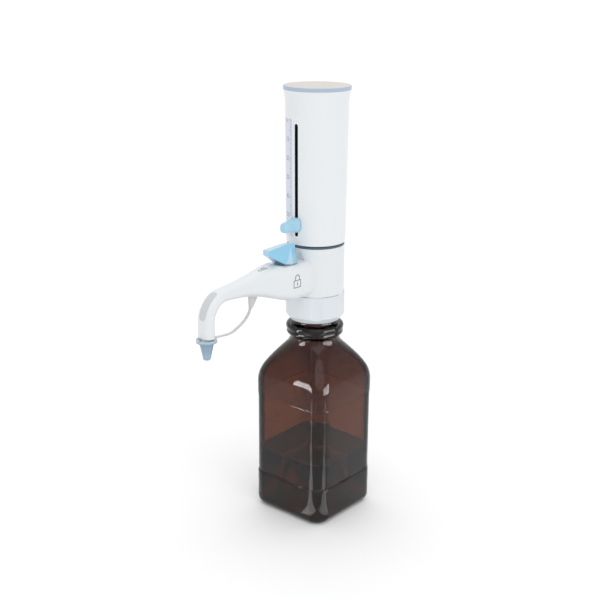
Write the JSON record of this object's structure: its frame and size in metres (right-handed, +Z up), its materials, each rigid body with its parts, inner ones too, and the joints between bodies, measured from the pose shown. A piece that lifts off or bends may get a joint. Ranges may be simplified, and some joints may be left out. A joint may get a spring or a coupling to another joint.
{
  "type": "bottle top dispenser",
  "caption": "Piston dispenser screwed on a square amber reagent bottle: lifting sleeve, volume selector in a slot, valve lever, curved discharge arm with capped nozzle.",
  "frame": {"origin": "centre of the bottle's flat base", "axes": "+Z up along the piston axis; the discharge arm, valve lever and volume slot point along -Y, square to a bottle face; +X is to the right seen from the nozzle side"},
  "size_m": [0.09, 0.206, 0.4331],
  "materials": {
    "amber_glass": "glossy brown glass",
    "clear_glass": "clear borosilicate glass",
    "white_housing": "semi-gloss cool white moulded plastic",
    "white_sleeve": "semi-gloss cool white moulded plastic",
    "white_collar": "semi-gloss cool white moulded plastic",
    "grip_grey": "soft pale grey inlay",
    "light_blue": "semi-gloss light blue plastic",
    "ring_blue": "blue-grey plastic ring",
    "seal_blue": "dark slate blue elastomer",
    "cap_grey": "warm pale grey plastic",
    "scale_lavender": "pale lavender printed film",
    "strap_grey": "translucent pale grey flexible plastic",
    "cap_blue": "translucent blue-grey plastic",
    "inner_dark": "dark inner guide plastic",
    "valve_white": "PTFE-like white plastic",
    "valve_ball": "polished oxide ceramic",
    "tube_clear": "natural fluoropolymer tube",
    "piston_white": "fluoropolymer-coated piston",
    "steel": "stainless steel"
  },
  "bodies": {
    "bottle": {"reagent_bottle": "amber_glass"},
    "collar": {"screw_collar": "white_collar"},
    "head": {"head_housing": "white_housing", "elbow_grip_pad": "grip_grey", "valve_block": "valve_white", "bottle_seal": "valve_white", "coupling_flange": "valve_white", "filling_valve_body": "valve_white", "filling_valve_seat": "valve_white", "discharge_valve_body": "valve_white", "discharge_tube": "tube_clear", "nozzle_fitting": "valve_white", "strap_clip": "strap_grey", "cap_strap": "strap_grey", "glass_cylinder": "clear_glass", "guide_sleeve": "inner_dark", "seal_ring": "seal_blue", "filling_tube_upper": "tube_clear", "recirculation_tube": "tube_clear"},
    "plunger": {"outer_sleeve": "white_sleeve", "scale_strip": "scale_lavender", "top_ring": "ring_blue", "top_cap": "cap_grey", "piston": "piston_white", "piston_seal": "valve_white", "piston_nut": "steel"},
    "selector": {"volume_selector": "light_blue", "selector_clamp": "inner_dark"},
    "lever": {"valve_lever": "light_blue", "valve_spindle": "valve_white"},
    "nozzle_cap": {"cap_ring": "strap_grey", "screw_cap": "cap_blue"},
    "dip_tube": {"filling_tube_lower": "tube_clear"},
    "intake_ball": {"filling_valve_ball": "valve_ball"},
    "outlet_ball": {"discharge_valve_ball": "valve_ball"}
  },
  "joints": [
    {"name": "collar_turn", "type": "hinge", "parent": "bottle", "child": "collar", "pos_m": [0, 0, 0.2175], "axis": [0, 0, 1], "continuous": true},
    {"name": "head_swivel", "type": "hinge", "parent": "bottle", "child": "head", "pos_m": [0, 0, 0.2255], "axis": [0, 0, 1], "continuous": true},
    {"name": "sleeve_lift", "type": "slide", "parent": "head", "child": "plunger", "axis": [0, 0, 1], "range_m": [0, 0.089]},
    {"name": "selector_slide", "type": "slide", "parent": "plunger", "child": "selector", "axis": [0, -0.0104, 0.9999], "range_m": [0, 0.088]},
    {"name": "lever_turn", "type": "hinge", "parent": "head", "child": "lever", "pos_m": [0, -0.0445, 0.2687], "axis": [0, 0, 1], "range_deg": [0, 90]},
    {"name": "cap_pull", "type": "slide", "parent": "head", "child": "nozzle_cap", "axis": [0, 0, -1], "range_m": [0, 0.016], "deforming": ["cap_strap"]},
    {"name": "dip_tube_slide", "type": "slide", "parent": "head", "child": "dip_tube", "axis": [0, 0, 1], "range_m": [-0.006, 0.04]},
    {"name": "intake_ball_lift", "type": "slide", "parent": "head", "child": "intake_ball", "axis": [0, 0, 1], "range_m": [0, 0.002]},
    {"name": "outlet_ball_lift", "type": "slide", "parent": "head", "child": "outlet_ball", "axis": [0, -1, 0], "range_m": [0, 0.002]}
  ]
}
